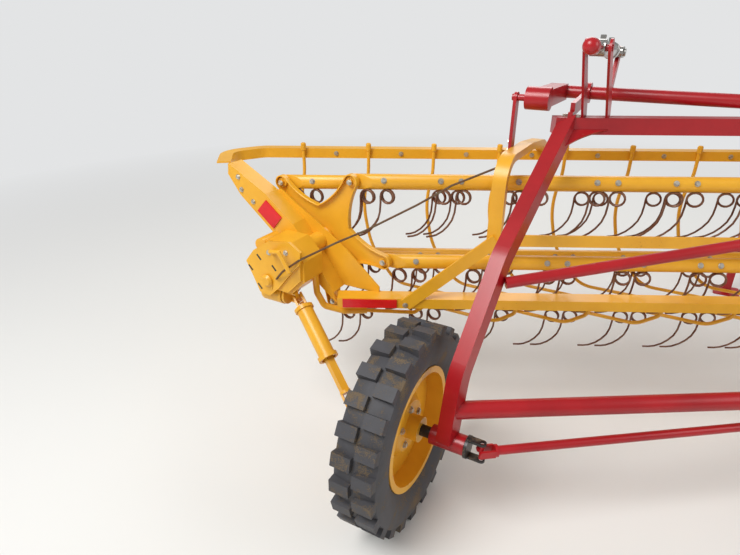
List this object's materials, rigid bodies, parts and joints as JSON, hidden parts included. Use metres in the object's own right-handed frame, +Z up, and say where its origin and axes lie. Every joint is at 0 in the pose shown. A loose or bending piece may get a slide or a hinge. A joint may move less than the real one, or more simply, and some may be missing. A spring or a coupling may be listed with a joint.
{
  "type": "side delivery bar rake",
  "caption": "Towed hay rake: an angled reel of tined parallel bars in a basket of stripper rods, hung from arms under a frame on two wheels, driven by shafts from the axle.",
  "frame": {"origin": "on the ground, below the middle of the bounding box", "axes": "+Z up, +X along the tine bars to the right as seen from behind the basket, +Y to the far side; the machine travels 28 degrees right of +Y"},
  "size_m": [3.5418, 2.7316, 1.577],
  "materials": {
    "tyre": "matt black rubber",
    "yellow_paint": "worn yellow paint",
    "red_paint": "glossy red paint",
    "black_paint": "greasy black paint",
    "bare_steel": "bare steel",
    "rope": "brown cord",
    "reflector": "red reflector"
  },
  "bodies": {
    "frame": {"left_leg": "red_paint", "right_leg": "red_paint", "left_knee": "red_paint", "right_knee": "red_paint", "top_beam": "red_paint", "axle_beam": "red_paint", "cross_brace": "red_paint", "left_axle": "black_paint", "right_axle": "black_paint", "cross_shaft": "red_paint", "tongue": "red_paint", "hitch_clevis": "red_paint", "tongue_braces": "red_paint", "stand_sleeve": "red_paint", "rockshaft_bearings": "red_paint", "lift_arm_bearing": "red_paint", "cylinder_stands": "red_paint"},
    "stand": {"stand_leg": "red_paint"},
    "rockshaft": {"rockshaft": "red_paint"},
    "right_arm": {"right_lift_arm": "red_paint"},
    "tie_rod": {"tie_rod": "red_paint"},
    "barrel": {"cylinder_barrel": "bare_steel"},
    "piston": {"cylinder_rod": "bare_steel"},
    "basket": {"top_rail": "yellow_paint", "bottom_beam": "yellow_paint", "left_end_beam": "yellow_paint", "right_end_beam": "yellow_paint", "left_arch": "yellow_paint", "right_arch": "yellow_paint", "mid_rail": "yellow_paint", "left_brace": "yellow_paint", "right_brace": "yellow_paint", "left_lift_link": "red_paint", "right_lift_link": "red_paint", "strippers": "yellow_paint", "gearbox": "yellow_paint", "reel_bearing": "yellow_paint", "guard_pipe": "yellow_paint", "reflectors": "reflector", "shift_handle": "bare_steel", "trip_rope": "rope"},
    "drive_tube": {"drive_tube": "yellow_paint"},
    "drive_bar": {"drive_bar": "bare_steel"},
    "left_spider": {"left_spider": "yellow_paint"},
    "right_spider": {"right_spider": "yellow_paint"},
    "left_wheel": {"left_tyre": "tyre", "left_rim": "yellow_paint"},
    "right_wheel": {"right_tyre": "tyre", "right_rim": "yellow_paint"},
    "bar_1": {"tine_bar_1": "yellow_paint"},
    "bar_2": {"tine_bar_2": "yellow_paint"},
    "bar_3": {"tine_bar_3": "yellow_paint"},
    "bar_4": {"tine_bar_4": "yellow_paint"},
    "bar_5": {"tine_bar_5": "yellow_paint"}
  },
  "joints": [
    {"name": "stand_slide", "type": "slide", "parent": "frame", "child": "stand", "axis": [0, 0, 1], "range_m": [0, 0.3]},
    {"name": "left_wheel_turn", "type": "hinge", "parent": "frame", "child": "left_wheel", "pos_m": [-0.98881, -1.01169, 0.363], "axis": [0.8829, -0.4695, 0], "continuous": true},
    {"name": "right_wheel_turn", "type": "hinge", "parent": "frame", "child": "right_wheel", "pos_m": [1.30156, -0.97915, 0.363], "axis": [0.8829, -0.4695, 0], "continuous": true},
    {"name": "basket_lift", "type": "hinge", "parent": "frame", "child": "rockshaft", "pos_m": [-0.40428, -0.1786, 1.372], "axis": [0.8829, -0.4695, 0], "range_deg": [0, 53]},
    {"name": "right_arm_swing", "type": "hinge", "parent": "frame", "child": "right_arm", "pos_m": [0.81107, -0.07618, 1.372], "axis": [0.8829, -0.4695, 0], "range_deg": [0, 53]},
    {"name": "basket_hang", "type": "hinge", "parent": "rockshaft", "child": "basket", "pos_m": [-0.56835, -0.44245, 1.375], "axis": [0.8829, -0.4695, 0], "range_deg": [-53, 0]},
    {"name": "tie_rod_swing", "type": "hinge", "parent": "rockshaft", "child": "tie_rod", "pos_m": [0.44335, -0.62929, 1.492], "axis": [0.8829, -0.4695, 0], "range_deg": [-53, 0]},
    {"name": "barrel_swing", "type": "hinge", "parent": "frame", "child": "barrel", "pos_m": [-0.41659, -0.67038, 1.55], "axis": [0.8829, -0.4695, 0], "range_deg": [-0.05, 0.9]},
    {"name": "rod_slide", "type": "slide", "parent": "barrel", "child": "piston", "axis": [0.4686, 0.8812, -0.0623], "range_m": [-0.14761, 0]},
    {"name": "drive_tube_swing", "type": "hinge", "parent": "basket", "child": "drive_tube", "pos_m": [-1.40196, -0.6108, 0.643], "axis": [-0.1279, -0.863, -0.4887], "range_deg": [0, 57.3]},
    {"name": "drive_bar_swing", "type": "hinge", "parent": "frame", "child": "drive_bar", "pos_m": [-1.17864, -0.91076, 0.363], "axis": [-0.1279, -0.863, -0.4887], "range_deg": [0, 57.3]},
    {"name": "reel_turn", "type": "hinge", "parent": "basket", "child": "left_spider", "pos_m": [-1.30681, -0.42769, 0.827], "axis": [0.4695, 0.8829, 0], "continuous": true},
    {"name": "right_spider_turn", "type": "hinge", "parent": "basket", "child": "right_spider", "pos_m": [1.38319, -0.42769, 0.827], "axis": [0.4695, 0.8829, 0], "continuous": true},
    {"name": "bar_1_turn", "type": "hinge", "parent": "left_spider", "child": "bar_1", "pos_m": [-1.06247, -0.55761, 0.77821], "axis": [0.4695, 0.8829, 0], "continuous": true},
    {"name": "bar_2_turn", "type": "hinge", "parent": "left_spider", "child": "bar_2", "pos_m": [-1.19033, -0.48963, 1.07511], "axis": [0.4695, 0.8829, 0], "continuous": true},
    {"name": "bar_3_turn", "type": "hinge", "parent": "left_spider", "child": "bar_3", "pos_m": [-1.47916, -0.33605, 1.02913], "axis": [0.4695, 0.8829, 0], "continuous": true},
    {"name": "bar_4_turn", "type": "hinge", "parent": "left_spider", "child": "bar_4", "pos_m": [-1.52981, -0.30912, 0.70382], "axis": [0.4695, 0.8829, 0], "continuous": true},
    {"name": "bar_5_turn", "type": "hinge", "parent": "left_spider", "child": "bar_5", "pos_m": [-1.27228, -0.44605, 0.54873], "axis": [0.4695, 0.8829, 0], "continuous": true}
  ],
  "couplings": [
    {"joint": "right_arm_swing", "follows": "basket_lift", "ratio": 1},
    {"joint": "basket_hang", "follows": "basket_lift", "ratio": -1},
    {"joint": "tie_rod_swing", "follows": "basket_lift", "ratio": -1},
    {"joint": "barrel_swing", "follows": "basket_lift", "ratio": 0.016981},
    {"joint": "rod_slide", "follows": "basket_lift", "m_per_rad": -0.15903},
    {"joint": "drive_tube_swing", "follows": "basket_lift", "ratio": 1.0807},
    {"joint": "drive_bar_swing", "follows": "basket_lift", "ratio": 1.0807},
    {"joint": "right_spider_turn", "follows": "reel_turn", "ratio": 1},
    {"joint": "bar_1_turn", "follows": "reel_turn", "ratio": -1},
    {"joint": "bar_2_turn", "follows": "reel_turn", "ratio": -1},
    {"joint": "bar_3_turn", "follows": "reel_turn", "ratio": -1},
    {"joint": "bar_4_turn", "follows": "reel_turn", "ratio": -1},
    {"joint": "bar_5_turn", "follows": "reel_turn", "ratio": -1}
  ]
}
